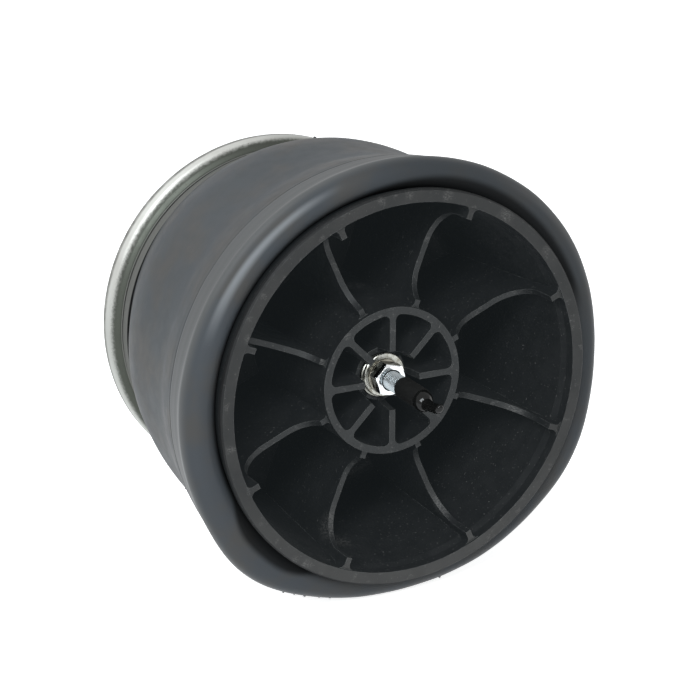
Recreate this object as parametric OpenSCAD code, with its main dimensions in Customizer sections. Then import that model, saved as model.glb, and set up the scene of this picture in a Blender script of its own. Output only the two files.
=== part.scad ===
// Air suspension spring of the rolling lobe kind, lying on its side.
// Millimetres, +Z up. The face of the piston's base ring is the plane Y = 0,
// the axis runs along Y, and the top plate is on the +Y side.
// Every module is drawn on its own axis and turned onto Y by along_y().

/* [Height] */
// Distance from the base ring's face to the back of the top plate
rest_h = 207.5; // [190:0.5:260]

/* [Piston] */
// Outside diameter of the base ring
rim_d = 250; // [210:1:300]
// Width of the base ring's flat face
rim_face = 8; // [6:0.5:12]
// How far the base ring stands out past the skirt
lip_out = 3; // [2:0.5:6]
// Thickness of the base ring's lip
lip_h = 6; // [4:0.5:8]
// How much the skirt's radius shrinks towards the crown
skirt_taper = 8.5; // [4:0.5:12]
// Wall thickness of the skirt and crown
wall = 5; // [3.5:0.5:7]
// Height of the crown face above the base ring
piston_h = 128; // [110:1:140]
// Radius of the shoulder between skirt and crown
shoulder_r = 16; // [10:1:24]

/* [Piston ribs] */
// Thickness of the outer ribs
rib_t = 3.6; // [2.5:0.1:6]
// Depth of the ribs' free edges in the middle
rib_dip = 37.5; // [28:0.5:50]
// Radius of the curve at the hub end of a rib
rib_hub_r = 20; // [10:1:24]
// Radius of the curve at the ring end of a rib
rib_rim_r = 23; // [12:1:26]
// How far the ribs are turned from the middle between two spokes
rib_turn = -0.9; // [-3:0.1:3]
// Length of the tab where a rib meets the base ring
rim_tab = 7.5; // [4:0.5:10]
// Length of the tab where a rib meets the hub ring
hub_tab = 4.6; // [3:0.2:7]
// Corner radius of ribs and spokes in plan
fillet = 3.6; // [1.5:0.1:4.5]

/* [Piston hub] */
// Outside diameter of the hub ring
hub_d = 94; // [84:1:110]
// Wall of the hub ring
hub_wall = 4.6; // [3.5:0.1:6]
// Depth of the hub ring's face behind the base ring
hub_sink = 21.5; // [16:0.5:26]
// Thickness of the eight spokes
spoke_t = 4; // [3:0.1:5]
// Diameter of the well left between the spokes
well_d = 38; // [36:0.5:44]
// Diameter of the boss under the washers
boss_d = 34; // [32:0.5:40]

/* [Centre stud, washers and nut] */
// Diameter of the centre stud
stud_d = 12; // [10:0.5:14]
// Play around the stud in the piston
stud_play = 0.5; // [0.3:0.1:1]
// How far the stud stands out past the base ring
stud_out = 13.5; // [10:0.5:20]
// Width across the flats of the nut
nut_af = 19; // [17:0.5:21]
// Section of the seal around the stud
seal_wire = 3; // [2:0.5:4]
// Height of the nut
nut_h = 10.3; // [8:0.1:12]
// Diameter of the washers
washer_d = 28; // [25:0.5:30]
// Thickness of one washer
washer_t = 2.5; // [2:0.1:3]
// How far each washer sits off centre
washer_shift = 0.7; // [0:0.1:0.8]

/* [Thread cap] */
// Outside diameter of the cap
cap_d = 13.2; // [13:0.1:18]
// Depth of the cap's mouth behind the base ring
cap_mouth = 7.6; // [6:0.1:11]
// Diameter of the cap's stem
stem_d = 6.2; // [4:0.1:8]
// Length of the stem from the dome
stem_l = 18.5; // [10:0.5:24]

/* [Bellows] */
// Outside diameter of the rolled lobe
lobe_d = 285.4; // [275:0.2:340]
// Thickness of the rubber
rubber_t = 4.5; // [3.5:0.1:5]
// How far the lobe's front stays behind the base ring
lobe_gap = 9; // [7.5:0.5:14]
// Bead wire diameter
wire_d = 5; // [4:0.5:6]
// Height of the ledge, the crease and the shoulder under the plate's lip
ledge_h = 19; // [17:0.5:21]

/* [Top plate] */
// Diameter over the crimped edge
plate_d = 236; // [225:1:245]
// Sheet thickness
plate_t = 3; // [2.5:0.1:3.5]
// Height of the crimped edge
crimp_h = 24.3; // [22:0.1:28]
// Radius of the rolled edge
edge_r = 9; // [8:0.5:11]
// How far round the lip is rolled in under the bead, in degrees
lip_turn = 74; // [60:1:80]
// Distance between the two studs of the top plate
stud_span = 140; // [110:1:150]
// Height of those studs above the plate
top_stud_l = 35; // [25:1:45]
// Distance of the air port from the axis
port_off = 38; // [34:1:44]
// Diameter of the air port's boss
port_boss_d = 30; // [27:0.5:34]
// Bore of the air port's thread
port_bore_d = 14.5; // [12:0.1:18.6]
// Height of the boss above the plate
port_h = 11; // [8:0.5:14]
// Thickness of the port's collar inside the plate
port_collar_t = 3; // [2:0.5:3.5]
// How far the collar stands out past the boss
port_collar = 3; // [2:0.5:4]

/* [Bump stop] */
// Diameter of the bump stop at its foot
bump_d = 80; // [66:1:90]
// Height of the bump stop
bump_h = 38; // [30:0.5:39]
// Height of the mushroom that the bump stop is snapped over
knob_h = 18; // [17:0.5:20]
// Radius of the mushroom's cap
knob_r = 11; // [10:0.5:12]

/* [Hidden] */
$fn = 96;
fit = 0.3;
thread_play = 0.05;
press_gap = 0.1;

rim_r = rim_d / 2;
hole_r = rim_r - rim_face;
skirt_r0 = rim_r - lip_out;
skirt_r1 = skirt_r0 - skirt_taper;
shoulder_d = piston_h - shoulder_r;
hub_ro = hub_d / 2;
hub_ri = hub_ro - hub_wall;
well_r = well_d / 2;
boss_r = boss_d / 2;
stud_r = stud_d / 2;
seat = hub_sink + 1 + nut_h - 0.3 + 2 * washer_t;
nut_front = seat - 2 * washer_t - nut_h;
lobe_r = lobe_d / 2;
crown_up = 8;
bead_h = 12;
bead_in = 68;
bead_out = 84;
closure_t = 4;
lid_foot = piston_h + crown_up + 0.2;
lid_top = piston_h + bead_h + 0.2 + closure_t;
plate_r = plate_d / 2;
lip_d = rest_h - crimp_h;
edge_c = plate_r - edge_r;
lip_r = edge_c + (edge_r - plate_t) * cos(lip_turn);
head_r = 13;
neck_r = stud_r + 0.6;
port_r = port_boss_d / 2;

// Radius of the skirt's outside at a depth behind the base ring.
function skirt(d) = skirt_r0 - skirt_taper * (d - lip_h) / (shoulder_d - lip_h);

// Points on an arc, in steps that keep the ends exact.
function arc(cx, cy, r, a0, a1, n) =
    [for (i = [0 : n]) [cx + r * cos(a0 + (a1 - a0) * i / n), cy + r * sin(a0 + (a1 - a0) * i / n)]];

module along_y() rotate([-90, 0, 0]) children();

// Turns what is drawn along +X to an angle counted from +Z towards +X.
module at(phi) rotate([0, 0, phi - 90]) children();

// Revolves a section whose x is the radius and whose y is the depth.
module turned() rotate_extrude() children();

// Stands a section up as a flat web of thickness t along +X.
module web(t) rotate([90, 0, 0]) linear_extrude(height = t, center = true) children();

// Corner between a web's side and the inside of a ring.
module corner_in(ri, t, f)
{
    yc = t / 2 + f;
    xc = sqrt((ri - f) * (ri - f) - yc * yc);
    a = atan2(yc, xc);
    difference()
    {
        polygon([[xc, t / 2 - 0.3], [ri + 0.6, t / 2 - 0.3], [(ri + 0.6) * cos(a), (ri + 0.6) * sin(a)], [xc, yc]]);
        translate([xc, yc]) circle(r = f);
    }
}

// Corner between a web's side and the outside of a ring.
module corner_out(ro, t, f)
{
    yc = t / 2 + f;
    xc = sqrt((ro + f) * (ro + f) - yc * yc);
    a = atan2(yc, xc);
    difference()
    {
        polygon([[ro - 0.6, t / 2 - 0.3], [xc, t / 2 - 0.3], [xc, yc], [(ro - 0.6) * cos(a), (ro - 0.6) * sin(a)]]);
        translate([xc, yc]) circle(r = f);
    }
}

module both_sides()
{
    children();
    mirror([0, 1]) children();
}

// Section of the skirt and the crown.
module shell_section()
{
    ro = shoulder_r;
    ri = shoulder_r - wall;
    cx = skirt_r1 - shoulder_r;
    cy = shoulder_d;
    polygon(concat(
        [[hole_r, 0], [rim_r - 1, 0], [rim_r, 1], [rim_r, lip_h - 1.5], [skirt_r0, lip_h + 0.8]],
        arc(cx, cy, ro, 0, 90, 8),
        [[bead_in - fit - 3, piston_h], [bead_in - fit - 3, piston_h - wall - 2]],
        [for (p = arc(cx, cy, ri, 90, 0, 6)) p],
        [[skirt_r0 - wall - 1.4, lip_h + 6], [hole_r, lip_h + 1]]));
    // The raised middle of the crown, which the lower bead is pushed over.
    polygon([[0, piston_h - wall - 3], [bead_in - fit, piston_h - wall - 3], [bead_in - fit, piston_h + crown_up - 2],
        [bead_in - fit - 2, piston_h + crown_up], [0, piston_h + crown_up]]);
}

// Outline of one outer rib in its own plane, with the deep arc of its free edge.
module rib_section()
{
    tip = hole_r - rim_tab;
    foot = hub_ro + hub_tab;
    deep = piston_h - wall + 0.5;
    difference()
    {
        polygon([[hub_ro - 1, hub_sink + 3], [foot + 2, hub_sink + 3], [foot + 2, 1.2], [hole_r + 0.8, 1.2],
            [hole_r + 0.8, 12], [skirt_r1 - wall + 1.5, shoulder_d], [skirt_r1 - shoulder_r * 0.42, deep - 1.5],
            [skirt_r1 - shoulder_r, deep + 1], [hub_ro - 1, deep + 1]]);
        union()
        {
            translate([foot, -5]) square([tip - foot, rib_dip - rib_rim_r + 5]);
            translate([foot + 0.4, 0]) square([rib_hub_r, hub_sink + 3]);
            translate([foot - 1 + rib_hub_r, rib_dip - rib_hub_r]) circle(r = rib_hub_r);
            translate([tip - rib_rim_r, rib_dip - rib_rim_r]) circle(r = rib_rim_r);
            translate([foot - 1 + rib_hub_r, -5])
                square([tip - rib_rim_r - foot + 1 - rib_hub_r, rib_dip + 5]);
        }
    }
}

// Hub ring and spokes in plan, with round corners where they meet.
module hub_plan()
{
    difference()
    {
        circle(r = hub_ro);
        circle(r = hub_ri);
    }
    for (i = [0 : 7]) rotate(45 * i)
    {
        translate([boss_r - 3, -spoke_t / 2]) square([hub_ri + 1 - boss_r + 3, spoke_t]);
        both_sides() corner_in(hub_ri, spoke_t, fillet);
    }
}

// The well round the nut: the spokes' ends lean in and stand on small feet on the boss.
module well_section()
{
    polygon([[0, hub_sink - 1], [well_r, hub_sink - 1], [well_r, hub_sink], [well_r - 1.3, seat - 5],
        [boss_r, seat - 2], [boss_r - 2, seat], [0, seat]]);
}

module piston()
{
    deep = piston_h - wall;
    color([0.15, 0.15, 0.16]) along_y() difference()
    {
        union()
        {
            turned() shell_section();
            // Hub ring and spokes, from their face down to the crown, with the well turned out of them.
            difference()
            {
                translate([0, 0, hub_sink]) linear_extrude(height = deep + 1 - hub_sink) hub_plan();
                turned() well_section();
            }
            // Boss under the washers.
            translate([0, 0, seat]) cylinder(r = boss_r, h = deep + 1 - seat);
            for (i = [0 : 7]) at(22.5 + rib_turn + 45 * i)
            {
                web(rib_t) rib_section();
                // Tabs and their corners at both ends of a rib.
                translate([0, 0, 1.2]) linear_extrude(height = rib_dip - 1.5) both_sides()
                    corner_in(hole_r, rib_t, fillet);
                translate([0, 0, hub_sink + 3]) linear_extrude(height = deep - hub_sink - 3) both_sides()
                    corner_out(hub_ro, rib_t, fillet * 0.6);
            }
        }
        translate([0, 0, seat - 1]) cylinder(r = stud_r + stud_play, h = piston_h + crown_up - seat + 2);
        // Groove of the seal around the stud.
        translate([0, 0, piston_h + crown_up - seal_wire]) cylinder(r = stud_r + seal_wire + 0.1, h = seal_wire + 1);
    }
}

// Rubber outside the fold, from the plate's end to the lobe: shares of the way down and out.
sleeve = [[1, 0], [0.957, 0.086], [0.902, 0.206], [0.833, 0.345], [0.764, 0.431], [0.695, 0.479], [0.612, 0.502],
    [0.522, 0.524], [0.433, 0.562], [0.35, 0.618], [0.28, 0.708], [0.212, 0.795], [0.163, 0.843], [0.12, 0.868],
    [0.08, 0.915], [0.053, 0.938], [0.032, 0.963], [0.014, 0.989]];

module bellows_section()
{
    c = fit;
    t = rubber_t;
    fold_guess = (lobe_r - skirt_r0) / 2;
    dl = lobe_gap + fold_guess;
    rin = skirt(dl) + c;
    fr = (lobe_r - rin) / 2;
    cx = lobe_r - fr;
    r0 = plate_r - 2;
    d0 = lip_d - ledge_h;
    sx = skirt_r1 - shoulder_r;
    neck = lip_r - 0.5;
    bi = lip_r - 9;
    bo = plate_r - plate_t - fit;
    b0 = lip_d + plate_t + fit;
    b1 = rest_h - plate_t - fit;
    bend = edge_r - plate_t - fit;
    tuck = lip_turn - 4;
    outside = [for (p = sleeve) [r0 + (lobe_r - r0) * p[1], dl + (d0 - dl) * p[0]]];
    inside = [for (i = [len(sleeve) - 1 : -1 : 0]) [outside[i][0] - t, outside[i][1]]];
    polygon(concat(
        // Upper bead, held in the rolled edge.
        [[neck - t, b0], [bi + 2, b0], [bi, b0 + 2], [bi, b1 - 4], [bi + 4, b1], [bo - 6, b1], [bo, b1 - 6.5]],
        arc(edge_c, lip_d + edge_r, bend, 0, -tuck, 5),
        // Ledge, crease and shoulder, then the sleeve.
        [[neck, b0 + 0.2], [neck, lip_d - 0.8], [neck + 1.7, lip_d - 1.8], [neck + 2.5, lip_d - 3.6],
            [neck + 2.7, lip_d - 8.2], [neck + 2.3, d0 + 8.4], [neck + 3.6, d0 + 7.2],
            [plate_r - 2.9, d0 + 5.6], [plate_r - 2.1, d0 + 2.6]],
        outside,
        // The fold, then the inner wall up the skirt and over the shoulder.
        arc(cx, dl, fr, 0, -180, 16),
        arc(sx, shoulder_d, shoulder_r + c, 0, 90, 8),
        // Lower bead, pushed over the raised middle of the crown.
        [[bead_in + 1.5, piston_h + c], [bead_in, piston_h + c + 1.5], [bead_in, piston_h + bead_h - 2],
            [bead_in + 2, piston_h + bead_h], [bead_out - 1, piston_h + bead_h], [bead_out + 4, piston_h + c + t]],
        arc(sx, shoulder_d, shoulder_r + c + t, 90, 0, 8),
        arc(cx, dl, fr - t, -180, 0, 12),
        inside,
        [[neck - t + 4.6, d0 + 3.4], [neck - t + 3, d0 + 6.2], [neck - t + 2.3, lip_d - 9.6],
            [neck - t + 1.7, lip_d - 5.2], [neck - t, lip_d - 2]]));
}

module upper_ring_shape(play) turned()
    translate([(lip_r - 9 + plate_r - plate_t - fit) / 2, lip_d + crimp_h / 2 - 0.6]) circle(r = wire_d / 2 + play);

module lower_ring_shape(play) turned()
    translate([(bead_in + bead_out) / 2 + 0.5, piston_h + bead_h / 2 + 0.2]) circle(r = wire_d / 2 + play);

module bellows() color([0.24, 0.25, 0.26]) along_y() difference()
{
    turned() bellows_section();
    upper_ring_shape(0.02);
    lower_ring_shape(0.02);
}

module upper_bead_wire() color([0.55, 0.45, 0.3]) along_y() upper_ring_shape(0);

module lower_bead_wire() color([0.55, 0.45, 0.3]) along_y() lower_ring_shape(0);

module top_plate() color([0.74, 0.75, 0.74]) along_y() difference()
{
    turned() polygon(concat(
        [[0, rest_h - plate_t], [0, rest_h]],
        arc(edge_c, rest_h - edge_r, edge_r, 90, 0, 9),
        arc(edge_c, lip_d + edge_r, edge_r, 0, -lip_turn, 8),
        arc(edge_c, lip_d + edge_r, edge_r - plate_t, -lip_turn, 0, 6),
        arc(edge_c, rest_h - edge_r, edge_r - plate_t, 0, 90, 7)));
    for (s = [-1, 1])
        translate([s * stud_span / 2, 0, rest_h - plate_t - 1]) cylinder(r = neck_r + press_gap, h = plate_t + 2);
    translate([0, port_off, rest_h - plate_t - 1]) cylinder(r = port_r + press_gap, h = plate_t + 2);
}

// One stud of the top plate: a head welded inside, a thicker neck in the plate, and the threaded shank.
module top_stud(s) color([0.8, 0.81, 0.82]) along_y() translate([s * stud_span / 2, 0, 0]) turned() polygon([
    [0, rest_h - plate_t - 4], [head_r - 1, rest_h - plate_t - 4], [head_r, rest_h - plate_t - 3],
    [head_r, rest_h - plate_t], [neck_r, rest_h - plate_t], [neck_r, rest_h], [stud_r, rest_h],
    [stud_r, rest_h + top_stud_l - 1.2],
    [stud_r - 1.2, rest_h + top_stud_l], [0, rest_h + top_stud_l]]);

module stud_left() top_stud(-1);

module stud_right() top_stud(1);

// Air port: a threaded boss with a collar, welded in from the inside. It lies below the axis, towards -Z.
module air_port() color([0.78, 0.79, 0.8]) along_y() translate([0, port_off, 0]) turned() polygon([
    [port_bore_d / 2, rest_h - plate_t - port_collar_t], [port_r + port_collar - 0.8, rest_h - plate_t - port_collar_t],
    [port_r + port_collar, rest_h - plate_t - port_collar_t + 0.8], [port_r + port_collar, rest_h - plate_t],
    [port_r, rest_h - plate_t], [port_r, rest_h + port_h - 1], [port_r - 1, rest_h + port_h],
    [port_bore_d / 2, rest_h + port_h]]);

// Rubber ring that keeps the air in around the stud.
module stud_seal() color([0.12, 0.12, 0.12]) along_y() turned()
    translate([stud_r + seal_wire / 2 + 0.05, piston_h + crown_up - seal_wire / 2 + 0.1]) circle(r = seal_wire / 2);

// Steel lid that clamps the lower bead, dished onto the crown.
module closure_plate() color([0.62, 0.63, 0.62]) along_y() turned() polygon([
    [stud_r + 0.1, lid_foot], [bead_in - 7, lid_foot], [bead_in - 1.5, piston_h + bead_h + 0.2],
    [bead_out + 2, piston_h + bead_h + 0.2], [bead_out + 2, lid_top], [bead_in - 4, lid_top],
    [bead_in - 9, lid_foot + closure_t], [stud_r + 0.1, lid_foot + closure_t]]);

// Centre stud: a mushroom head that carries the bump stop, and the long shank.
stud_head = lid_foot + closure_t;
module centre_stud() color([0.82, 0.83, 0.84]) along_y() turned() polygon([
    [0, -stud_out], [stud_r - 1.2, -stud_out], [stud_r, 1.2 - stud_out], [stud_r, stud_head],
    [head_r + 3, stud_head], [head_r + 3, stud_head + 4], [knob_r - 3, stud_head + 5],
    [knob_r - 3, stud_head + knob_h - 8], [knob_r, stud_head + knob_h - 5], [knob_r, stud_head + knob_h - 3.5],
    [knob_r - 4, stud_head + knob_h], [0, stud_head + knob_h]]);

// Rubber bump stop, snapped over the mushroom.
module bump_stop() color([0.2, 0.2, 0.2]) along_y() turned()
{
    top = lid_top + bump_h;
    br = bump_d / 2;
    waist_r = br - 7.5;
    nose_r = 8.5;
    difference()
    {
        polygon(concat(
            [[0, lid_top + 0.2], [br - 2, lid_top + 0.2], [br, lid_top + 2.2], [br, lid_top + 8],
                [br - 7, lid_top + 13], [waist_r, top - nose_r - 1.5]],
            arc(waist_r - nose_r, top - nose_r, nose_r, 0, 90, 6),
            [[0, top]]));
        polygon([[-1, lid_top - 3], [head_r + 3 + fit, lid_top - 3], [head_r + 3 + fit, stud_head + 4 + fit],
            [knob_r - 3 + fit, stud_head + 5.5 + fit], [knob_r - 3 + fit, stud_head + knob_h - 8.2],
            [knob_r + fit, stud_head + knob_h - 5], [knob_r + fit, stud_head + knob_h - 3.4 + fit],
            [knob_r - 4 + fit, stud_head + knob_h + 2 * fit], [-1, stud_head + knob_h + 2 * fit]]);
    }
}

// One plain washer; two are stacked, each a little off centre.
module washer(lift, s) color([0.8, 0.79, 0.72]) along_y()
    translate([s * washer_shift * 0.7071, -s * washer_shift * 0.7071, lift]) turned()
    {
        ri = stud_r + washer_shift + 0.2;
        ro = washer_d / 2;
        polygon([[ri, 0], [ro - 0.5, 0], [ro, 0.5], [ro, washer_t - 0.02], [ri, washer_t - 0.02]]);
    }

module rear_washer() washer(seat - washer_t, -1);

module front_washer() washer(seat - 2 * washer_t, 1);

// Hexagon nut with chamfered corners on a round washer face.
module hex_nut()
{
    top = nut_h - 0.9;
    er = nut_af / sqrt(3);
    color([0.87, 0.88, 0.89]) along_y() translate([0, 0, nut_front]) difference()
    {
        union()
        {
            intersection()
            {
                rotate([0, 0, -16.9]) rotate([0, 0, -90]) cylinder(r = er, h = top + 0.1, $fn = 6);
                turned() polygon([[0, 0], [nut_af / 2 - 0.3, 0], [er + 0.1, (er + 0.4 - nut_af / 2) * 0.577],
                    [er + 0.1, top + 0.1], [0, top + 0.1]]);
            }
            translate([0, 0, top]) cylinder(r = nut_af / 2 + 1.3, h = nut_h - top - 0.02);
        }
        translate([0, 0, -1]) cylinder(r = stud_r + thread_play, h = nut_h + 2);
    }
}

// Soft cap pushed over the stud's end, with a dome and a stem.
module thread_cap()
{
    cr = cap_d / 2;
    inner = stud_r + 0.12;
    top = stud_out + 0.6;
    dome = stud_out + 2.4;
    sr = stem_d / 2;
    tip = dome + cr * 0.62 + stem_l;
    color([0.05, 0.05, 0.06]) along_y() mirror([0, 0, 1]) turned() polygon(concat(
        [[inner, -cap_mouth], [cr - 0.2, -cap_mouth], [cr, 0.3 - cap_mouth]],
        [for (a = [0 : 10 : 50]) [cr * cos(a), dome + cr * sin(a)]],
        [[sr + 0.7, dome + cr * 0.86], [sr, dome + cr]],
        arc(0, tip - sr, sr, 0, 90, 6),
        [[0, top], [inner, top]]));
}

/* [Hidden] */

piston();
centre_stud();
stud_seal();
closure_plate();
bump_stop();
rear_washer();
front_washer();
hex_nut();
lower_bead_wire();
bellows();
upper_bead_wire();
top_plate();
stud_left();
stud_right();
air_port();
thread_cap();
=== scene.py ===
import math

import bmesh
import bpy
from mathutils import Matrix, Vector, noise


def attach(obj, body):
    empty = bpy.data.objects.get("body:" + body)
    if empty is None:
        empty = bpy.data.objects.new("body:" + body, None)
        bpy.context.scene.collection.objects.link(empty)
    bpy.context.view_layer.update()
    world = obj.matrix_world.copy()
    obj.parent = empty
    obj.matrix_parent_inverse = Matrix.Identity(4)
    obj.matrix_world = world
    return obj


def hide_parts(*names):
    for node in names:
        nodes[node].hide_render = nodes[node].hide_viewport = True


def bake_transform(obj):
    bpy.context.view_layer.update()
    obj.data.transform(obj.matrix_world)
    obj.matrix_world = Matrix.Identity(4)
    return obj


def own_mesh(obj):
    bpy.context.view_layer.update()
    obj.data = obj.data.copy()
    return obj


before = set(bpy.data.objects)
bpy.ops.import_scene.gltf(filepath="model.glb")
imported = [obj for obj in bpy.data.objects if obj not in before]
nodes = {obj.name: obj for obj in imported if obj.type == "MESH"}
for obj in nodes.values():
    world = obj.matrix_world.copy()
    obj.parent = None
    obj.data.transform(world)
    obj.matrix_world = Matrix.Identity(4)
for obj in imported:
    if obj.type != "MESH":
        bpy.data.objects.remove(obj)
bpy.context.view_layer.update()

scene = bpy.context.scene
scene.view_settings.view_transform = "Standard"
mm = 0.001

# Camera
# A long lens, a little above the spring's axis and well to its left, with the open base of the piston
# towards it.
camera_place = Vector((-636.5, -1135.5, 454.9)) * mm
camera_azimuth = math.radians(-27.685)
camera_elevation = math.radians(18.237)
lens_length = 117.3
film_width = 36
camera_data = bpy.data.cameras.new("camera")
camera_data.sensor_width = film_width
camera_data.lens = lens_length
camera = bpy.data.objects.new("camera", camera_data)
camera.location = camera_place
camera.rotation_euler = (math.pi / 2 - camera_elevation, 0, camera_azimuth)
scene.collection.objects.link(camera)
scene.camera = camera

# Floor, lamps and world
# A pale floor under the lobe, which keeps a faint shadow, and the soft lamps of a small studio. What the
# lens, gloss and glass see of the floor and the room is white.
floor_level = -140 * mm
floor_reach = 4.0
floor_paint_colour = (0.8, 0.8, 0.8, 1)
floor_glow = 0.86
room_colour = (0.93, 0.97, 1.0, 1)
room_light = 0.31
white = (1, 1, 1, 1)


def shader_tree(material):
    """Gives back a material's or a world's empty tree."""
    material.use_nodes = True
    material.node_tree.nodes.clear()
    return material.node_tree


def put(tree, kind, values=None, **choices):
    """Adds a shader node, sets its choices, and fills its inputs with values or joins them to outputs."""
    made = tree.nodes.new("ShaderNode" + kind)
    for choice, value in choices.items():
        setattr(made, choice, value)
    for socket, value in (values or {}).items():
        if isinstance(value, bpy.types.NodeSocket):
            tree.links.new(value, made.inputs[socket])
        else:
            made.inputs[socket].default_value = value
    return made


def sees_white(tree):
    """One for the rays that show the room: the lens's own, and those by way of gloss or glass."""
    path = put(tree, "LightPath")
    gloss = put(tree, "Math", {0: path.outputs["Is Camera Ray"], 1: path.outputs["Is Glossy Ray"]},
                operation="MAXIMUM")
    return put(tree, "Math", {0: gloss.outputs[0], 1: path.outputs["Is Transmission Ray"]},
               operation="MAXIMUM").outputs[0]


floor_mesh = bpy.data.meshes.new("floor")
floor_mesh.from_pydata([(x * floor_reach, y * floor_reach, floor_level) for x, y in
                        ((-1, -1), (1, -1), (1, 1), (-1, 1))], [], [(0, 1, 2, 3)])
floor = bpy.data.objects.new("floor", floor_mesh)
scene.collection.objects.link(floor)
floor_paint = bpy.data.materials.new("floor_paint")
tree = shader_tree(floor_paint)
paint = put(tree, "BsdfDiffuse", {"Color": floor_paint_colour})
glow = put(tree, "Emission", {"Color": white, "Strength": floor_glow})
glowing = put(tree, "AddShader", {0: paint.outputs[0], 1: glow.outputs[0]})
floor_look = put(tree, "MixShader", {0: sees_white(tree), 1: paint.outputs[0], 2: glowing.outputs[0]})
put(tree, "OutputMaterial", {"Surface": floor_look.outputs[0]})
floor_mesh.materials.append(floor_paint)

room = bpy.data.worlds.new("room")
scene.world = room
tree = shader_tree(room)
dim_room = put(tree, "Background", {"Color": room_colour, "Strength": room_light})
white_room = put(tree, "Background", {"Color": white, "Strength": 1})
room_look = put(tree, "MixShader", {0: sees_white(tree), 1: dim_room.outputs[0], 2: white_room.outputs[0]})
put(tree, "OutputWorld", {"Surface": room_look.outputs[0]})


def softbox(name, place, aim, width, height, power, colour, roll=0):
    """An area lamp at a place in metres, turned to the point that it lights, and rolled by some degrees."""
    lamp = bpy.data.lights.new(name, "AREA")
    lamp.shape = "RECTANGLE"
    lamp.size = width
    lamp.size_y = height
    lamp.energy = power
    lamp.color = colour
    box = bpy.data.objects.new(name, lamp)
    box.location = place
    box.rotation_euler = (Vector(aim) - Vector(place)).to_track_quat("-Z", "Y").to_euler()
    box.rotation_euler.rotate_axis("Z", math.radians(roll))
    scene.collection.objects.link(box)


softbox("left_box", (-0.92, -1.22, 1.17), (0, 0.05, 0), 1.5, 0.5, 42, (0.9, 0.96, 1.0), roll=45)
softbox("back_box", (-0.95, 0.85, 1.15), (0, 0.1, 0), 1.2, 0.5, 11, (0.93, 0.97, 1.0), roll=-45)
softbox("right_box", (1.6, -0.2, 0.4), (0, 0.1, 0), 0.8, 0.8, 3, (1.0, 0.99, 0.97))

# Piston
# A single moulding of black glass filled nylon: base ring, tapered skirt, eight curved ribs, and the hub
# with its spokes. It comes out of the mould with dull faces, and handling leaves pale scuffs on the ring
# and the rib edges.
nylon_colour = (0.007, 0.007, 0.0068, 1)
nylon_cloud = (0.014, 0.0134, 0.0125, 1)
nylon_film = (0.012, 0.0125, 0.0125, 1)
nylon_pocket_shade = (0.007, 0.0072, 0.0075, 1)
nylon_haze = (0.006, 0.0075, 0.0082, 1)     # a faint glow, for the haze that lies over the photo's blacks
nylon_worn = (0.06, 0.06, 0.059, 1)
nylon_dust_and_light = (0.2, 0.19, 0.18, 1)
# Black for painted shade, which finished mixes in where its shade is high.
painted_shade_black = (0.01, 0.01, 0.01, 1)
ring_side = 124.3 * mm      # the ring's outer side, which is painted darker
pocket_from = 42 * mm
pocket_to = 50 * mm
# Where hands and tools scuffed it, as x, y, z and reach in millimetres.
scuffed_places = ((-20, 0, 121, 4), (-1, 0, 122, 4), (25, 0, 119, 5), (66, 0, 102, 7), (95, 0, 76, 4),
                  (-120, 0, -17, 4), (-107, 0, 49, 4), (-78, 0, -95, 4), (-70, 0, -99, 4),
                  (95, 32, -36, 10), (40, 31, -94, 11), (-36, 33, -93, 14), (-24, 47, -110, 12),
                  (2, 75, 47, 12))


def own_space(tree):
    """A point's place in the part's own space."""
    return put(tree, "TexCoord").outputs["Object"]


def grain(tree, size, detail=4, roughness=0.55, stretch=(1, 1, 1), shift=0.0):
    """Noise whose grains are about size metres across, in the part's own space."""
    moved = put(tree, "Mapping", {"Vector": own_space(tree), "Location": (shift, shift, shift),
                                  "Scale": stretch})
    return put(tree, "TexNoise", {"Vector": moved.outputs[0], "Scale": 1 / size, "Detail": detail,
                                  "Roughness": roughness}).outputs["Fac"]


def between(tree, value, low, high, to_low=0.0, to_high=1.0):
    """A soft step from to_low, where the value is low, to to_high, where it is high."""
    return put(tree, "MapRange", {"Value": value, "From Min": low, "From Max": high, "To Min": to_low,
                                  "To Max": to_high}, interpolation_type="SMOOTHSTEP").outputs["Result"]


def joined(tree, operation, first, *others):
    """One number made of several, two at a time."""
    for other in others:
        first = put(tree, "Math", {0: first, 1: other}, operation=operation).outputs[0]
    return first


def times(tree, *factors):
    return joined(tree, "MULTIPLY", *factors)


def blended(tree, share, under, over):
    """A colour that goes from under to over with the share."""
    mixed = put(tree, "Mix", data_type="RGBA")
    for socket, value in ((0, share), (6, under), (7, over)):
        if isinstance(value, bpy.types.NodeSocket):
            tree.links.new(value, mixed.inputs[socket])
        else:
            mixed.inputs[socket].default_value = value
    return mixed.outputs[2]


def vector_number(tree, operation, *vectors):
    """A number made of one vector or two."""
    made = put(tree, "VectorMath", dict(enumerate(vectors)), operation=operation)
    return made.outputs["Value"]


def depth_at(tree, space):
    """How far a place lies behind the face of the base ring."""
    return put(tree, "SeparateXYZ", {0: space}).outputs[1]


def height_at(tree, space):
    """How far a place lies above the axis."""
    return put(tree, "SeparateXYZ", {0: space}).outputs[2]


def across(tree, space):
    """The flat vector, of X and Z, from the axis to a place."""
    place = put(tree, "SeparateXYZ", {0: space})
    return put(tree, "CombineXYZ", {0: place.outputs[0], 1: place.outputs[2], 2: 0.0}).outputs[0]


def from_axis_at(tree, space):
    """A place's distance from the axis."""
    return vector_number(tree, "LENGTH", across(tree, space))


def towards(tree, space, x, z):
    """One on the side of the round piece that faces along X and Z, and less away from it."""
    outward = put(tree, "VectorMath", {0: across(tree, space)}, operation="NORMALIZE").outputs[0]
    return vector_number(tree, "DOT_PRODUCT", outward, (x, z, 0))


def rounded(tree, radius):
    """The normal with every sharp edge rounded off."""
    return put(tree, "Bevel", {"Radius": radius}, samples=6).outputs[0]


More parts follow.
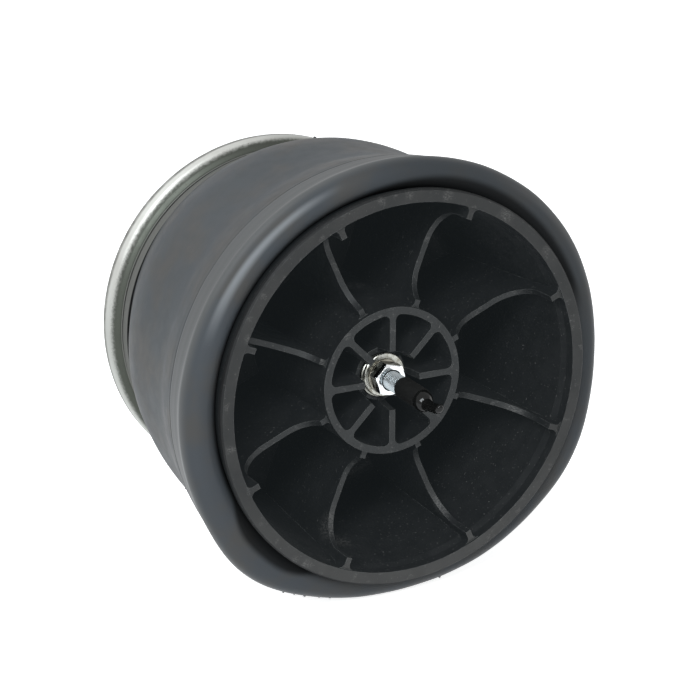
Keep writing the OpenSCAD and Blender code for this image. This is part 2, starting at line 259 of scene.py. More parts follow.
def worn_edges(tree, radius):
    """High along the sharp edges that hands and tools rub."""
    flat = put(tree, "NewGeometry").outputs["True Normal"]
    return between(tree, vector_number(tree, "DOT_PRODUCT", rounded(tree, radius), flat), 0.995, 0.86)


def relief(tree, height, depth, normal):
    """A bump of depth metres on top of a normal."""
    return put(tree, "Bump", {"Height": height, "Strength": 1.0, "Distance": depth,
                              "Normal": normal}).outputs[0]


def finished(tree, shade=None, **values):
    """The Principled shader on the material's output. Underscores in the names stand for spaces. Where shade
    is high, the surface is painted black, as painted shade, and has no gloss."""
    look = put(tree, "BsdfPrincipled", {name.replace("_", " "): value for name, value in values.items()})
    look = look.outputs[0]
    if shade is not None:
        painted_shade_bsdf = put(tree, "BsdfDiffuse", {"Color": painted_shade_black}).outputs[0]
        look = put(tree, "MixShader", {0: shade, 1: look, 2: painted_shade_bsdf}).outputs[0]
    put(tree, "OutputMaterial", {"Surface": look})


def coat_node(name, material):
    """Gives a piece of the frame its material."""
    mesh = nodes[name].data
    mesh.materials.clear()
    mesh.materials.append(material)


nylon = bpy.data.materials.new("nylon")
tree = shader_tree(nylon)
depth = depth_at(tree, own_space(tree))
facing = put(tree, "SeparateXYZ", {0: put(tree, "NewGeometry").outputs["True Normal"]}).outputs[1]
front = times(tree, between(tree, facing, -0.6, -0.85), between(tree, depth, pocket_to, pocket_from))
cloud = between(tree, grain(tree, 28 * mm, 3), 0.35, 0.65)
colour = blended(tree, cloud, nylon_colour, nylon_cloud)
colour = blended(tree, between(tree, depth, 6 * mm, 16 * mm), colour, nylon_film)
# The pockets' walls and deep floors are painted darker, as painted shade.
colour = blended(tree, front, nylon_pocket_shade, colour)
height = height_at(tree, own_space(tree))
# The front faces are painted paler towards the bottom, as painted light from below.
painted_light_below = times(tree, between(tree, height, -40 * mm, -120 * mm), front, 0.1)
colour = blended(tree, painted_light_below, colour, nylon_dust_and_light)
streaky = between(tree, grain(tree, 1.4 * mm, 3, stretch=(1, 1, 2)), 0.42, 0.62)
scuff = times(tree, between(tree, grain(tree, 7 * mm, 2, shift=8.0), 0.6, 0.68), streaky, front, 0.22)
colour = blended(tree, scuff, colour, nylon_dust_and_light)
handled = 0.0
for x, y, z, reach in scuffed_places:
    away = vector_number(tree, "DISTANCE", own_space(tree), (x * mm, y * mm, z * mm))
    handled = joined(tree, "MAXIMUM", handled, between(tree, away, reach * mm, 0.2 * reach * mm))
colour = blended(tree, times(tree, handled, streaky, 0.25), colour, nylon_dust_and_light)
edge = times(tree, worn_edges(tree, 0.7 * mm), between(tree, grain(tree, 9 * mm, 4, shift=1.0), 0.38, 0.62))
colour = blended(tree, edge, colour, nylon_worn)
speck = between(tree, grain(tree, 1.6 * mm, 2, shift=3.0), 0.66, 0.74)
colour = blended(tree, times(tree, speck, 0.35), colour, nylon_dust_and_light)
from_axis = from_axis_at(tree, own_space(tree))
# The ring's outer side is painted black, as painted shade.
painted_ring_shade = times(tree, between(tree, from_axis, ring_side - 0.5 * mm, ring_side), 0.55)
dullness = between(tree, grain(tree, 12 * mm, 3, shift=5.0), 0.3, 0.7, 0.46, 0.6)
moulded = relief(tree, grain(tree, 0.9 * mm, 3), 0.05 * mm, rounded(tree, 0.3 * mm))
finished(tree, painted_ring_shade, Base_Color=colour, Roughness=dullness, Normal=moulded, Specular_IOR_Level=0.3,
         Emission_Color=nylon_haze, Emission_Strength=1.0)
coat_node("piston", nylon)

# Centre stud
# A zinc plated steel stud with a fine M12 thread, which holds the whole spring together through the hub.
# Its thread shows between the nut and the cap, and its mushroom head is inside, under the bump stop.
stud_radius = 6 * mm
stud_pitch = 1.5 * mm
stud_tip = -13.5 * mm
stud_thread_end = 46 * mm
zinc_colour = (0.36, 0.4, 0.42, 1)
zinc_stain = (0.4, 0.41, 0.4, 1)
zinc_painted_shade = (0.02, 0.022, 0.022, 1)


def corners(*pairs):
    """A line of (radius, depth) in metres, from pairs in millimetres."""
    return [(radius * mm, depth * mm) for radius, depth in pairs]


def smooth_mesh(name, points, faces, angle=35):
    """An object of one piece with shaded curves, and sharp edges where faces meet at more than the angle."""
    mesh = bpy.data.meshes.new(name)
    mesh.from_pydata(points, [], faces)
    work = bmesh.new()
    work.from_mesh(mesh)
    bmesh.ops.remove_doubles(work, verts=work.verts, dist=0.002 * mm)
    bmesh.ops.dissolve_degenerate(work, edges=work.edges, dist=0.001 * mm)
    bmesh.ops.recalc_face_normals(work, faces=work.faces)
    work.to_mesh(mesh)
    work.free()
    mesh.shade_smooth()
    mesh.set_sharp_from_angle(angle=math.radians(angle))
    made = bpy.data.objects.new(name, mesh)
    scene.collection.objects.link(made)
    return made


def threaded_rod(name, radius, pitch, tip, foot, tail, centre_x=0.0, steps=48):
    """A rod along Y with a right hand thread from its chamfered tip to its foot. tail is the rest of the
    outline as (radius, depth), from the foot to the axis."""
    cut_depth = 0.61 * pitch
    chamfer = 1.2 * mm
    way = 1 if foot > tip else -1
    wave = ((0.0, 0.0), (0.125, 0.0), (0.4375, 1.0), (0.6875, 1.0))
    length = abs(foot - tip)
    turns = math.ceil(length / pitch)
    rings = []
    for count in range(-1, turns + 1):
        for share, cut in wave:
            ring = []
            for step in range(steps):
                along = min(max(pitch * (count + share + step / steps), 0), length)
                run_out = min((length - along) / pitch, 1)
                reach = min(radius - cut_depth * cut * run_out, radius - chamfer + along)
                ring.append((reach, tip + way * along))
            rings.append(ring)
    rings += [[corner] * steps for corner in tail]
    points = [(centre_x, tip, 0)]
    for ring in rings:
        for step, (reach, depth) in enumerate(ring):
            turn = way * 2 * math.pi * step / steps
            points.append((centre_x + reach * math.sin(turn), depth, reach * math.cos(turn)))
    last_wave = len(wave) * (turns + 2) - 1

    def corner(ring, step):
        """A point's number. Past a full turn, the thread goes on in the next wave."""
        if step == steps:
            step = 0
            ring = min(ring + len(wave), last_wave) if ring <= last_wave else ring
        return 1 + ring * steps + step

    faces = [(0, corner(0, step), 1 + (step + 1) % steps) for step in range(steps)]
    for ring in range(len(rings) - 1):
        for step in range(steps):
            faces.append((corner(ring, step), corner(ring, step + 1), corner(ring + 1, step + 1),
                          corner(ring + 1, step)))
    return smooth_mesh(name, points, faces, 28)


def crevice(tree, reach):
    """High where other faces stand nearer than reach, as in the root of a thread."""
    open_share = put(tree, "AmbientOcclusion", {"Distance": reach}, samples=8).outputs["AO"]
    return between(tree, open_share, 0.8, 0.3)


zinc = bpy.data.materials.new("zinc")
tree = shader_tree(zinc)
stain = between(tree, grain(tree, 3 * mm, 5, shift=2.0), 0.5, 0.75)
colour = blended(tree, times(tree, stain, 0.6), zinc_colour, zinc_stain)
# The thread's roots and other hollows are painted dark, as painted shade.
colour = blended(tree, crevice(tree, 1.2 * mm), colour, zinc_painted_shade)
dullness = between(tree, grain(tree, 5 * mm, 4), 0.35, 0.7, 0.16, 0.3)
plated = relief(tree, grain(tree, 0.7 * mm, 3), 0.01 * mm, rounded(tree, 0.12 * mm))
finished(tree, Base_Color=colour, Metallic=1.0, Roughness=dullness, Normal=plated)

centre_stud_inside = corners((6, 140.2), (16, 140.2), (16, 144.2), (8, 145.2), (8, 150.2), (11, 153.2),
                             (11, 154.7), (7, 158.2), (0, 158.2))
centre_stud = threaded_rod("centre_stud_thread", stud_radius, stud_pitch, stud_tip, stud_thread_end,
                           centre_stud_inside)
centre_stud.data.materials.append(zinc)
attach(centre_stud, "piston_unit")
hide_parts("centre_stud")

# Washers
# Two plain steel washers with a thin yellowish zinc plating, stacked under the nut and each a little off
# centre. Their faces keep the arcs of the tool that cut them.
washer_colour = (0.44, 0.44, 0.4, 1)
washer_stain = (0.22, 0.21, 0.175, 1)
arcs_each_metre = 2600.0

washer_zinc = bpy.data.materials.new("washer_zinc")
tree = shader_tree(washer_zinc)
from_axis = from_axis_at(tree, own_space(tree))
arcs = put(tree, "TexNoise", {"W": from_axis, "Scale": arcs_each_metre, "Detail": 3.0},
           noise_dimensions="1D").outputs["Fac"]
colour = blended(tree, between(tree, grain(tree, 4 * mm, 4), 0.42, 0.66), washer_colour, washer_stain)
# Near the nut and in other hollows the washers are painted dark, as painted shade.
colour = blended(tree, crevice(tree, 5 * mm), colour, zinc_painted_shade)
dullness = between(tree, arcs, 0.3, 0.7, 0.22, 0.38)
turned_face = relief(tree, arcs, 0.05 * mm, rounded(tree, 0.2 * mm))
finished(tree, Base_Color=colour, Metallic=1.0, Roughness=dullness, Normal=turned_face)
coat_node("rear_washer", washer_zinc)
coat_node("front_washer", washer_zinc)

# Nut
# A hexagon nut of bright zinc plated steel, 19 mm across the flats, with chamfered corners and a round
# washer face that bears on the front washer. Its sides are painted as dark as the hub's shade leaves them.
nut_flats = 19 * mm
nut_front = 22.2 * mm
nut_height = 10.28 * mm
nut_turn = math.radians(13.1)
nut_face_radius = 9.1 * mm
nut_flange_radius = 10.8 * mm
nut_flange_front = 9.45 * mm
nut_bore = 6.05 * mm
nut_bright = (0.82, 0.84, 0.85, 1)
nut_clouded = (0.66, 0.68, 0.68, 1)
chamfer_slope = math.tan(math.radians(30))
nut_steps = 96


def nut_ring(step):
    """One angle round the nut: the outline from the bore over the face, the corner and the flange, back to
    the bore."""
    turn = 2 * math.pi * step / nut_steps
    off_flat = (turn + math.pi / 6) % (math.pi / 3) - math.pi / 6
    side = nut_flats / 2 / math.cos(off_flat)
    front_cut = max(0, side - nut_face_radius) * chamfer_slope
    waist = min(side, nut_flange_radius - 0.25 * mm)
    outline = [(nut_bore, 1.0 * mm), (nut_bore + 0.85 * mm, 0.0), (nut_face_radius, 0.0),
               (side, front_cut), (side, 8.9 * mm - front_cut * 0.3), (waist, 9.3 * mm),
               (nut_flange_radius, nut_flange_front), (nut_flange_radius, nut_height), (nut_bore, nut_height)]
    angle = turn + nut_turn
    return [(r * math.sin(angle), nut_front + y, r * math.cos(angle)) for r, y in outline]


nut_rings = [nut_ring(step) for step in range(nut_steps)]
ring_size = len(nut_rings[0])
nut_faces = []
for step in range(nut_steps):
    here = step * ring_size
    there = (step + 1) % nut_steps * ring_size
    for point in range(ring_size):
        after = (point + 1) % ring_size
        nut_faces.append((here + point, there + point, there + after, here + after))
nut = smooth_mesh("nut", [point for ring in nut_rings for point in ring], nut_faces, 22)

nut_zinc = bpy.data.materials.new("nut_zinc")
tree = shader_tree(nut_zinc)
depth = depth_at(tree, own_space(tree))
colour = blended(tree, between(tree, grain(tree, 3 * mm, 4), 0.45, 0.7), nut_bright, nut_clouded)
colour = blended(tree, between(tree, depth, nut_front + 1.6 * mm, nut_front + 2.8 * mm), colour, zinc_painted_shade)
flange = between(tree, depth, nut_front + 9.1 * mm, nut_front + 9.4 * mm)
colour = blended(tree, flange, colour, washer_stain)
dullness = between(tree, grain(tree, 4 * mm, 3), 0.35, 0.7, 0.12, 0.2)
plated = relief(tree, grain(tree, 1.0 * mm, 3), 0.01 * mm, rounded(tree, 0.15 * mm))
finished(tree, Base_Color=colour, Metallic=1.0, Roughness=dullness, Normal=plated)
nut.data.materials.append(nut_zinc)
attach(nut, "piston_unit")
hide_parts("hex_nut")

# Thread cap
# A dipped cap of black vinyl that keeps the stud's thread clean. Its sides are dull from handling, and its
# dome and stem, where the dip ran off, are as glossy as glass. Past the stud it sags, and its stem bends up.
cap_radius = 6.6 * mm
cap_bore = 6.12 * mm
cap_mouth = 7.6 * mm
cap_dome = -15.9 * mm
cap_tip = -38.5 * mm
stem_radius = 3.1 * mm
cap_sag = 11 * mm
vinyl_colour = (0.004, 0.004, 0.004, 1)
vinyl_worn = (0.008, 0.008, 0.0075, 1)


def turned(name, outline, steps=160, angle=35, shape=None):
    """Turns a closed outline of (radius, depth) about the Y axis. shape may move each point: it takes
    radius, depth and the angle from +Z towards +X, and gives back radius and depth."""
    points = []
    faces = []
    size = len(outline)
    for step in range(steps):
        turn = 2 * math.pi * step / steps
        for radius, depth in outline:
            r, y = shape(radius, depth, turn) if shape else (radius, depth)
            points.append((r * math.sin(turn), y, r * math.cos(turn)))
        here = step * size
        there = (step + 1) % steps * size
        for point in range(size):
            after = (point + 1) % size
            if outline[point][0] or outline[after][0]:
                faces.append((here + point, there + point, there + after, here + after))
    return smooth_mesh(name, points, faces, angle)


def bow(centre, radius, start, stop, count):
    """Points (radius, depth) on an arc. Angles are in degrees, from outwards towards larger depths."""
    line = []
    for i in range(count + 1):
        angle = math.radians(start + (stop - start) * i / count)
        line.append((centre[0] + radius * math.cos(angle), centre[1] + radius * math.sin(angle)))
    return line


stem_foot = cap_dome - 0.86 * cap_radius
cap_outline = [(0, stud_tip - 0.6 * mm), (cap_bore, stud_tip - 0.6 * mm), (cap_bore, cap_mouth - 0.3 * mm),
               (cap_bore + 0.3 * mm, cap_mouth), (cap_radius - 0.1 * mm, cap_mouth),
               (cap_radius + 0.1 * mm, cap_mouth - 0.3 * mm), (cap_radius, cap_mouth - 1.0 * mm),
               (cap_radius, cap_dome + 1.2 * mm), (cap_radius - 0.1 * mm, cap_dome + 0.6 * mm)]
cap_outline += [(radius * 0.99, depth) for radius, depth in bow((0, cap_dome), cap_radius, 0, -54, 9)]
cap_outline += [(stem_radius + 0.7 * mm, stem_foot), (stem_radius + 0.2 * mm, stem_foot - 0.9 * mm),
                (stem_radius, stem_foot - 2.6 * mm)]
cap_outline += bow((0, cap_tip + stem_radius), stem_radius, 0, -90, 10)
cap = turned("cap", cap_outline, steps=72, angle=40)
for point in cap.data.vertices:
    past_stud = max(stud_tip - point.co.y, 0) / (stud_tip - cap_tip)
    point.co.z += cap_sag * past_stud * (past_stud - 0.91)

vinyl = bpy.data.materials.new("vinyl")
tree = shader_tree(vinyl)
depth = depth_at(tree, own_space(tree))
handled = between(tree, depth, cap_dome - 0.4 * mm, cap_dome + 0.8 * mm)
dullness = times(tree, handled, between(tree, grain(tree, 3 * mm, 4), 0.3, 0.7, 0.55, 0.7))
colour = blended(tree, grain(tree, 4 * mm, 3), vinyl_colour, vinyl_worn)
dipped = relief(tree, grain(tree, 2.5 * mm, 2, shift=4.0), 0.12 * mm,
                put(tree, "NewGeometry").outputs["Normal"])
finished(tree, Base_Color=colour, Roughness=joined(tree, "MAXIMUM", dullness, 0.06),
         Specular_IOR_Level=0.2, Normal=dipped)
cap.data.materials.append(vinyl)
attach(cap, "cap_unit")
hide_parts("thread_cap")

# Bellows
# One moulding of cord reinforced rubber. Its upper bead is held in the crimped edge of the top plate, the
# sleeve widens to the rolled lobe, and the lobe turns in and runs up the piston's skirt to the lower bead.
skirt_front = 122 * mm
skirt_back = 113.5 * mm
skirt_from = 6 * mm
skirt_to = 112 * mm
shoulder_radius = 16 * mm
rubber = 4.5 * mm
rubber_fit = 0.3 * mm
lobe_radius = 142.7 * mm
lobe_front = 8.6 * mm
fold_flat = 1.5 * mm
leg_end = 48 * mm
crease_depth = 171.2 * mm
mould_line = 41.5 * mm
sleeve_lift = (4.0, 1.0)
swells = ((224, 5.4, 16), (255, 1.9, 26), (117, 4.2, 18), (55, 3.5, 32), (176, -4.7, 23), (344, -2.6, 61))


def skirt_at(depth):
    """Radius of the piston's skirt at a depth behind the base ring."""
    return skirt_front + (skirt_back - skirt_front) * (depth - skirt_from) / (skirt_to - skirt_from)


def flowing(points, steps=6):
    """A smooth line through points of (radius, depth)."""
    ends = [points[0]] + list(points) + [points[-1]]
    line = []
    for a, b, c, d in zip(ends, ends[1:], ends[2:], ends[3:]):
        for i in range(steps):
            t = i / steps
            line.append(tuple(0.5 * (2 * q + (r - p) * t + (2 * p - 5 * q + 4 * r - s) * t * t
                                     + (3 * q - p - 3 * r + s) * t ** 3) for p, q, r, s in zip(a, b, c, d)))
    return line + [points[-1]]


def inset(line, thickness):
    """The line moved sideways by the thickness, to its left as it runs."""
    moved = []
    for i, (r, y) in enumerate(line):
        before = line[max(i - 1, 0)]
        after = line[min(i + 1, len(line) - 1)]
        run = math.hypot(after[0] - before[0], after[1] - before[1])
        moved.append((r + (after[1] - before[1]) / run * thickness,
                      y - (after[0] - before[0]) / run * thickness))
    return moved


fold_in = skirt_at(20 * mm) + rubber_fit
fold_radius = (lobe_radius - fold_in) / 2
fold_middle = (lobe_radius - fold_radius, lobe_front + fold_radius)
neck_line = flowing(corners((110.15, 186.7), (110.15, 182.4), (111.85, 181.4), (112.65, 179.6),
                            (112.85, 175.0), (112.7, 172.3), (111.2, 171.4)), 4)
shoulder_line = flowing(corners((111.2, 171.1), (112.4, 170.4), (113.0, 168.4), (113.9, 165.6),
                                (115.4, 162.2), (117.9, 157.5), (121.5, 150), (125.2, 140), (127.5, 130),
                                (128.8, 120), (129.4, 108), (130.0, 95), (131.0, 82), (132.5, 70),
                                (134.9, 60), (137.2, 50), (137.9, 46), (138.5, 42.8)), 5)
line_groove = corners((138.3, 42.3), (138.25, 41.9), (138.7, 41.3))
roll_line = flowing(corners((138.9, 40.0), (139.5, 36.0), (140.3, 31.5), (140.9, 27.5), (141.6, 24.0),
                            (142.4, 21.2)) + [(lobe_radius, fold_middle[1])], 5)
outer_fold = bow(fold_middle, fold_radius, 0, -90, 18)[1:]
inner_fold = []
for angle in range(0, 91, 6):
    turn = math.radians(angle)
    inner_fold.append((fold_middle[0] - fold_flat - (fold_radius - fold_flat) * math.sin(turn),
                       fold_middle[1] - fold_radius * math.cos(turn)))
leg_line = [(skirt_at(depth) + rubber_fit, depth) for depth in (24 * mm, 30 * mm, 36 * mm, 42 * mm, leg_end)]
outer_line = neck_line + shoulder_line + line_groove + roll_line + outer_fold + inner_fold + leg_line
inside_back = corners((105.65, 181.2), (107.35, 178), (107.95, 173.6), (108.65, 170.4), (110.25, 167.6))
smooth_line = shoulder_line[20:] + roll_line + outer_fold + inner_fold + leg_line
inner_line = inside_back + inset(smooth_line, rubber)
upper_bead = corners((105.65, 186.5), (103.65, 186.5), (101.65, 188.5), (101.65, 200.2), (105.65, 204.2),
                     (108.7, 204.2), (114.7, 197.7))
upper_bead += bow((109 * mm, 192.2 * mm), 5.7 * mm, 0, -70, 6)


def swelling(turn):
    """How far the lobe bulges past its round, in metres. It was never under pressure, so it hangs
    unevenly."""
    total = 0.0
    for middle, height, width in swells:
        away = (math.degrees(turn) - middle + 180) % 360 - 180
        total += height * mm * math.exp(-(away / width) ** 2)
    return total


def hang(radius, depth, turn):
    """Shapes the sleeve and the lobe: the swelling fades towards the top plate and on the skirt, and the
    sleeve's back end is pushed up and to one side."""
    if depth > crease_depth:
        return radius, depth
    outside = 1.0
    if depth < leg_end + 1 * mm:
        outside = min(max((radius - fold_in) / (0.55 * (lobe_radius - fold_in)), 0), 1)
    share = min((crease_depth - depth) / (crease_depth - fold_middle[1]), 1) ** 0.58
    radius += swelling(turn) * share * outside
    along = min(max((depth - 70 * mm) / (94 * mm), 0), 1) * min((crease_depth - depth) / (2.5 * mm), 1)
    radius += along * mm * (sleeve_lift[0] * math.cos(turn) + sleeve_lift[1] * math.sin(turn))
    pucker = noise.noise(Vector((math.sin(turn) * 7, math.cos(turn) * 7, depth / (35 * mm))))
    return radius + 0.25 * mm * pucker * outside * min(share * 2, 1), depth


bellows_outer = turned("bellows_outer", outer_line + inner_line[::-1] + upper_bead, steps=288, angle=50,
                       shape=hang)

# Crumbs of rubber that the mould left on the sleeve, the lobe and the crease. Each has its angle in degrees,
# and its depth and size in millimetres.
crumbs = ((3, 139, 1.2), (13, 151.5, 1.1), (19, 150.5, 1.0), (227, 123, 1.1), (212, 18.5, 0.8),
          (209, 18, 0.6), (206, 18, 0.9), (202, 17.5, 0.6), (199, 17, 0.7), (167, 14.5, 0.8),
          (295, 170.6, 0.8), (303, 170.7, 0.7), (312, 170.6, 0.9), (331, 170.6, 0.8))
crumbed = bmesh.new()
crumbed.from_mesh(bellows_outer.data)
for turn, depth, size in crumbs:
    turn = math.radians(turn)
    nearest = min(shoulder_line + roll_line + outer_fold, key=lambda point: abs(point[1] - depth * mm))
    radius = hang(nearest[0], depth * mm, turn)[0]
    centre = Vector((radius * math.sin(turn), depth * mm, radius * math.cos(turn)))
    crumb = bmesh.ops.create_icosphere(crumbed, subdivisions=2, radius=size * mm)["verts"]
    for point in crumb:
        point.co.y *= 0.6
        point.co = centre + point.co * (1 + 0.5 * noise.noise(point.co / (0.5 * mm) + centre * 1000))
crumbed.to_mesh(bellows_outer.data)
crumbed.free()

# The rubber is grey with bloom. It is painted darker below and at the lobe's upper right as painted shade,
# lighter behind the fold as a painted reflection, and bright on the crest at the upper left as a painted
# highlight. The crease, and the gap between lobe and base ring, are painted dark as painted shade, since the
# white room would light them.
rubber_haze = (0.004, 0.0048, 0.0052, 1)    # a faint glow, as the nylon has
rubber_bloom = (0.2, 0.19, 0.18, 1)
sleeve_grey = (0.05, 0.054, 0.058, 1)
sleeve_brown = (0.06, 0.057, 0.054, 1)
sleeve_shade_below = (0.04, 0.0415, 0.043, 1)
sleeve_mottle = (0.044, 0.047, 0.05, 1)
ledge_grey = (0.1, 0.098, 0.09, 1)
roll_grey = (0.045, 0.049, 0.054, 1)
roll_brown = (0.052, 0.05, 0.048, 1)
roll_back_reflection = (0.07, 0.071, 0.071, 1)
roll_right_shade = (0.02, 0.022, 0.024, 1)
roll_painted_highlight = (0.135, 0.14, 0.146, 1)


def keep_rest(made):
    """Keeps each point's place at rest, so that the tones that go by place stay on the rubber where it
    bends or stretches. The fine grain doesn't go with them."""
    rest = made.data.attributes.new("rest", "FLOAT_VECTOR", "POINT")
    rest.data.foreach_set("vector", [value for point in made.data.vertices for value in point.co])


def rest_space(tree):
    """A point's place when the spring is at rest."""
    return put(tree, "Attribute", attribute_name="rest").outputs["Vector"]


def bloomed(tree, colour):
    """The colour with small pale spots of bloom on it."""
    bloom = between(tree, grain(tree, 2.2 * mm, 4, shift=6.0), 0.7, 0.8)
    return blended(tree, times(tree, bloom, 0.15), colour, rubber_bloom)


def rubber_skin(tree, shade, colour, dullness):
    """The finish that all of the rubber has, over its own colour and dullness."""
    skin = relief(tree, grain(tree, 0.8 * mm, 3), 0.03 * mm, put(tree, "NewGeometry").outputs["Normal"])
    finished(tree, shade, Base_Color=colour, Roughness=dullness, Normal=skin, Specular_IOR_Level=0.12,
             Emission_Color=rubber_haze, Emission_Strength=1.0)


keep_rest(bellows_outer)
bellows_rubber = bpy.data.materials.new("bellows_rubber")
tree = shader_tree(bellows_rubber)
depth = depth_at(tree, rest_space(tree))
height = height_at(tree, rest_space(tree))
colour = blended(tree, between(tree, grain(tree, 30 * mm, 4), 0.38, 0.7), sleeve_grey, sleeve_brown)
# Painted shade: the rubber is darker towards the bottom.
colour = blended(tree, times(tree, between(tree, height, 0, -80 * mm), 0.8), colour, sleeve_shade_below)
mottle = between(tree, grain(tree, 7 * mm, 4, shift=2.0), 0.35, 0.7)
colour = blended(tree, times(tree, mottle, 0.4), colour, sleeve_mottle)
colour = blended(tree, between(tree, depth, 171.6 * mm, 172.4 * mm), colour, ledge_grey)
# The crease is painted black, as painted shade.
crease = times(tree, between(tree, depth, 168.2 * mm, 170.0 * mm),
               between(tree, depth, 172.8 * mm, 172.2 * mm))
dullness = between(tree, grain(tree, 9 * mm, 4, shift=8.0), 0.3, 0.7, 0.5, 0.56)
rubber_skin(tree, crease, bloomed(tree, colour), dullness)
bellows_outer.data.materials.append(bellows_rubber)

roll_rubber = bpy.data.materials.new("roll_rubber")
tree = shader_tree(roll_rubber)
depth = depth_at(tree, rest_space(tree))
from_axis = from_axis_at(tree, rest_space(tree))
upper_left = towards(tree, rest_space(tree), -0.69, 0.72)
upper_right = towards(tree, rest_space(tree), 0.78, 0.62)
lower_left = towards(tree, rest_space(tree), -0.72, -0.695)
lower_right = towards(tree, rest_space(tree), 0.7, -0.71)
patch = between(tree, grain(tree, 30 * mm, 4), 0.4, 0.66)
colour = bloomed(tree, blended(tree, patch, roll_grey, roll_brown))
# The band behind the fold is painted lighter than the fold, as a painted reflection.
colour = blended(tree, between(tree, depth, 12 * mm, 18 * mm), colour, roll_back_reflection)
# The lobe's upper right is painted darker, as painted shade.
colour = blended(tree, times(tree, between(tree, upper_right, 0.3, 0.8), 0.6), colour, roll_right_shade)
# A painted highlight along the lobe's crest at the upper left.
crest_highlight_mask = times(tree, between(tree, depth, 13 * mm, 10.6 * mm),
               between(tree, from_axis, 132.5 * mm, 136 * mm),
               between(tree, upper_left, 0.88, 1.0))
colour = blended(tree, crest_highlight_mask, colour, roll_painted_highlight)
# The gap between lobe and base ring is painted black, as painted shade.
gap_widening = joined(tree, "ADD", times(tree, between(tree, upper_right, 0.35, 0.95), 7 * mm),
                      times(tree, between(tree, lower_left, 0.94, 1.0), 8 * mm))
past_gap = joined(tree, "SUBTRACT", from_axis, gap_widening)
gap = times(tree, between(tree, past_gap, 128.2 * mm, 123.2 * mm),
            between(tree, lower_right, 0.56, 0.35),
            between(tree, depth, 24 * mm, 18 * mm), 0.9)
dullness = between(tree, depth, 32 * mm, 15 * mm, 0.48, 0.4)
rubber_skin(tree, gap, colour, dullness)
bellows_outer.data.materials.append(roll_rubber)
for face in bellows_outer.data.polygons:
    face.material_index = 1 if face.center.y < mould_line else 0
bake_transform(bellows_outer)
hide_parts("bellows")

# The wall that lies on the skirt and over the shoulder, down to the lower bead. It moves with the piston.
wall_fit = 0.15 * mm
wall_depths = (20 * mm, 40 * mm, 60 * mm, 80 * mm, 100 * mm)
shoulder_middle = (skirt_back - shoulder_radius, skirt_to)
wall_line = [(skirt_at(depth) + wall_fit, depth) for depth in wall_depths]
wall_line += bow(shoulder_middle, shoulder_radius + wall_fit, 0, 90, 10)
wall_line += corners((69.5, 128.3), (68, 129.8), (68, 138), (70, 140), (83, 140), (88, 132.8))
wall_line += bow(shoulder_middle, shoulder_radius + wall_fit + rubber, 90, 0, 10)
wall_line += [(skirt_at(depth) + wall_fit + rubber, depth) for depth in wall_depths[:0:-1] + (21 * mm,)]
bellows_wall = turned("bellows_wall", wall_line, steps=144, angle=50)
keep_rest(bellows_wall)
bellows_wall.data.materials.append(bellows_rubber)
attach(bellows_wall, "piston_unit")
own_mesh(bellows_wall)

# Top plate
# Pressed from 3 mm sheet steel and zinc plated, then crimped: its edge is rolled in all round under the upper
# bead. The rolled edge is polished by the crimping rolls and pitted where the plating broke. It is painted
# dark where it turns in, as a painted reflection of the rubber, and painted darker at its back edge and away
# from the upper left, as painted shade.
lid_colour = (0.55, 0.555, 0.53, 1)
lid_dark = (0.47, 0.47, 0.44, 1)
lid_painted_shade = (0.34, 0.345, 0.325, 1)
lip_dark_reflection = (0.06, 0.064, 0.055, 1)
lip_pitted = (0.03, 0.028, 0.022, 1)
lip_edge = (0.16, 0.162, 0.15, 1)
rim_painted_shade = (0.19, 0.19, 0.175, 1)
lip_from = 190.3 * mm
lip_to = 186 * mm

lid_zinc = bpy.data.materials.new("lid_zinc")
tree = shader_tree(lid_zinc)
depth = depth_at(tree, own_space(tree))
from_axis = from_axis_at(tree, own_space(tree))
streak = between(tree, grain(tree, 10 * mm, 5), 0.35, 0.7)
colour = blended(tree, times(tree, streak, 0.5), lid_colour, lid_dark)
# Painted shade: the plate is darker away from the upper left.
upper_left = towards(tree, own_space(tree), -0.64, 0.77)
colour = blended(tree, between(tree, upper_left, 0.93, 0.6), colour, lid_painted_shade)
# Where the edge turns in, it is painted dark, as a painted reflection of the rubber beside it.
ragged = between(tree, grain(tree, 1.8 * mm, 3, shift=5.0), 0.3, 0.7, -0.4 * mm, 0.4 * mm)
lip_reflection_mask = between(tree, joined(tree, "ADD", depth, ragged), lip_from, lip_to)
colour = blended(tree, lip_reflection_mask, colour, lip_dark_reflection)
pit = times(tree, between(tree, grain(tree, 1.2 * mm, 2, shift=7.0), 0.66, 0.72),
            between(tree, depth, lip_from + 2 * mm, lip_from - 2 * mm), 0.6)
colour = blended(tree, pit, colour, lip_pitted)
bright_edge = times(tree, between(tree, depth, 185.4 * mm, 185.0 * mm),
                    between(tree, from_axis, 112.3 * mm, 112.0 * mm))
colour = blended(tree, bright_edge, colour, lip_edge)
# The back of the rolled edge is painted darker, as painted shade.
rim = times(tree, between(tree, depth, 195.5 * mm, 198.5 * mm),
            between(tree, from_axis, 106 * mm, 112 * mm),
            between(tree, grain(tree, 6 * mm, 4, shift=9.0), 0.3, 0.6, 0.6, 1.0))
colour = blended(tree, times(tree, rim, 0.85), colour, rim_painted_shade)
dullness = between(tree, grain(tree, 16 * mm, 4, shift=3.0), 0.3, 0.7, 0.44, 0.52)
rolled = relief(tree, grain(tree, 2.5 * mm, 3, shift=1.0), 0.012 * mm, rounded(tree, 0.5 * mm))
finished(tree, times(tree, rim, 0.3), Base_Color=colour, Metallic=1.0, Roughness=dullness, Normal=rolled)
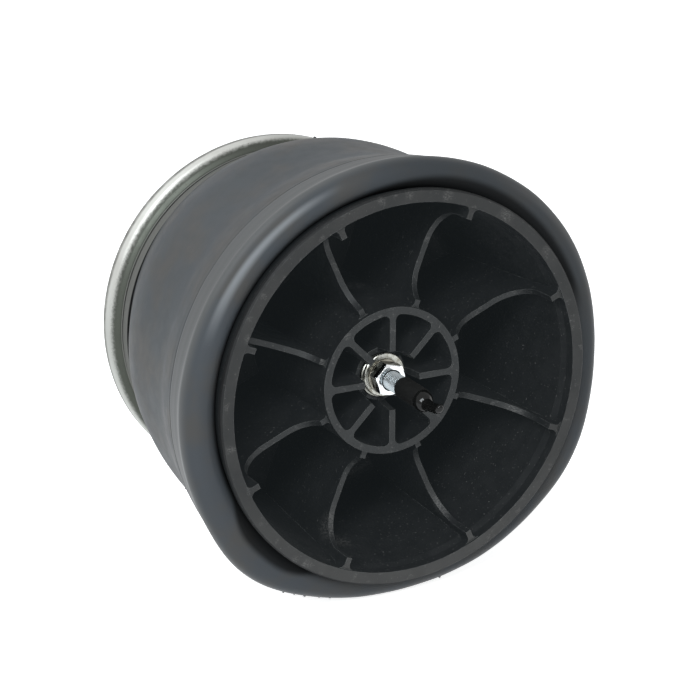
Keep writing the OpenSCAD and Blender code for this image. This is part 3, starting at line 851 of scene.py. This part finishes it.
coat_node("top_plate", lid_zinc)
coat_node("closure_plate", zinc)

# Top studs
# Two M12 studs, whose heads are welded inside the top plate so that no air gets past them. They bolt the
# spring to its bracket.
top_stud_place = 70 * mm
top_stud_pitch = 1.75 * mm
top_stud_thread_end = 209.5 * mm
top_stud_tip = 242.5 * mm
top_stud_head = corners((6, 207.5), (6.6, 207.5), (6.6, 204.5), (13, 204.5), (13, 201.5), (12, 200.5),
                        (0, 200.5))
for name, side in (("stud_left", -1), ("stud_right", 1)):
    stud = threaded_rod(name + "_thread", stud_radius, top_stud_pitch, top_stud_tip, top_stud_thread_end,
                        top_stud_head, side * top_stud_place)
    stud.data.materials.append(zinc)
    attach(stud, "plate_unit")
    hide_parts(name)

# Air port
# A turned steel boss, welded into the plate, with a thread for the air line's fitting. It has the same
# plating as the studs.
coat_node("air_port", zinc)

# Inside
# The rubber bump stop sits on the stud's mushroom head, the seal lies in its groove round the stud, and a
# wire in each bead keeps the rubber from stretching off its seat.
stop_black = (0.014, 0.014, 0.014, 1)
stop_grey = (0.03, 0.029, 0.028, 1)
brass_coat = (0.5, 0.38, 0.2, 1)
brass_bright = (0.62, 0.5, 0.3, 1)

stop_rubber = bpy.data.materials.new("stop_rubber")
tree = shader_tree(stop_rubber)
finished(tree, Base_Color=blended(tree, grain(tree, 6 * mm, 4), stop_black, stop_grey),
         Roughness=between(tree, grain(tree, 5 * mm, 3), 0.3, 0.7, 0.5, 0.7),
         Normal=relief(tree, grain(tree, 0.7 * mm, 3), 0.05 * mm, rounded(tree, 0.5 * mm)))
coat_node("bump_stop", stop_rubber)
coat_node("stud_seal", stop_rubber)

bead_steel = bpy.data.materials.new("bead_steel")
tree = shader_tree(bead_steel)
finished(tree, Base_Color=blended(tree, grain(tree, 3 * mm, 4), brass_coat, brass_bright), Metallic=1.0,
         Roughness=between(tree, grain(tree, 2 * mm, 3), 0.3, 0.7, 0.25, 0.4))
coat_node("lower_bead_wire", bead_steel)
coat_node("upper_bead_wire", bead_steel)
